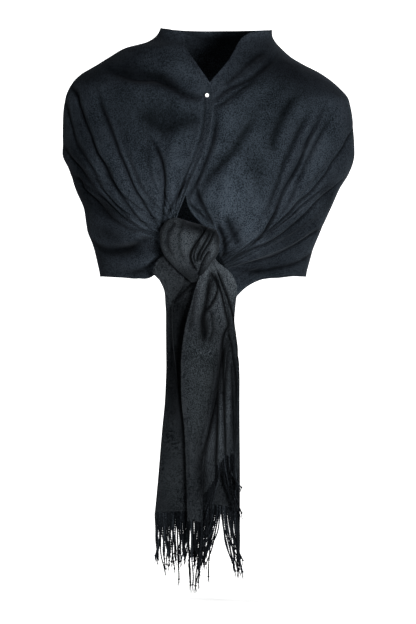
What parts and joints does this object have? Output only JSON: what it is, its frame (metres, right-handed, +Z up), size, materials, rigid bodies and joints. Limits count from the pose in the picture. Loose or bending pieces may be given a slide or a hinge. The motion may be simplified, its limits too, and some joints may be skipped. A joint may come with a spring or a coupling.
{
  "type": "pashmina shawl",
  "caption": "Dark fringed pashmina shawl worn round the shoulders, pinned at the neck, its ends knotted at the waist and hanging as pleated tails.",
  "frame": {"origin": "middle of the neck opening, level with where the cloth bears on the wearer's shoulders", "axes": "+Z up, -Y towards the front where the knot is, +X towards the wearer's left"},
  "size_m": [0.4379, 0.3003, 0.838],
  "materials": {
    "cloth": "fine twill of soft wool and silk, blue-black, with a soft low sheen",
    "fringe": "twisted tassels of the cloth's own warp yarn",
    "bead": "pearl bead head on a thin steel shank"
  },
  "bodies": {
    "root": {"back_stretch": "cloth", "right_front_stretch": "cloth", "left_front_stretch": "cloth", "knot": "cloth", "front_tail": "cloth", "rear_tail": "cloth", "front_fringe": "fringe", "rear_fringe": "fringe", "neck_pin": "bead"}
  },
  "joints": []
}
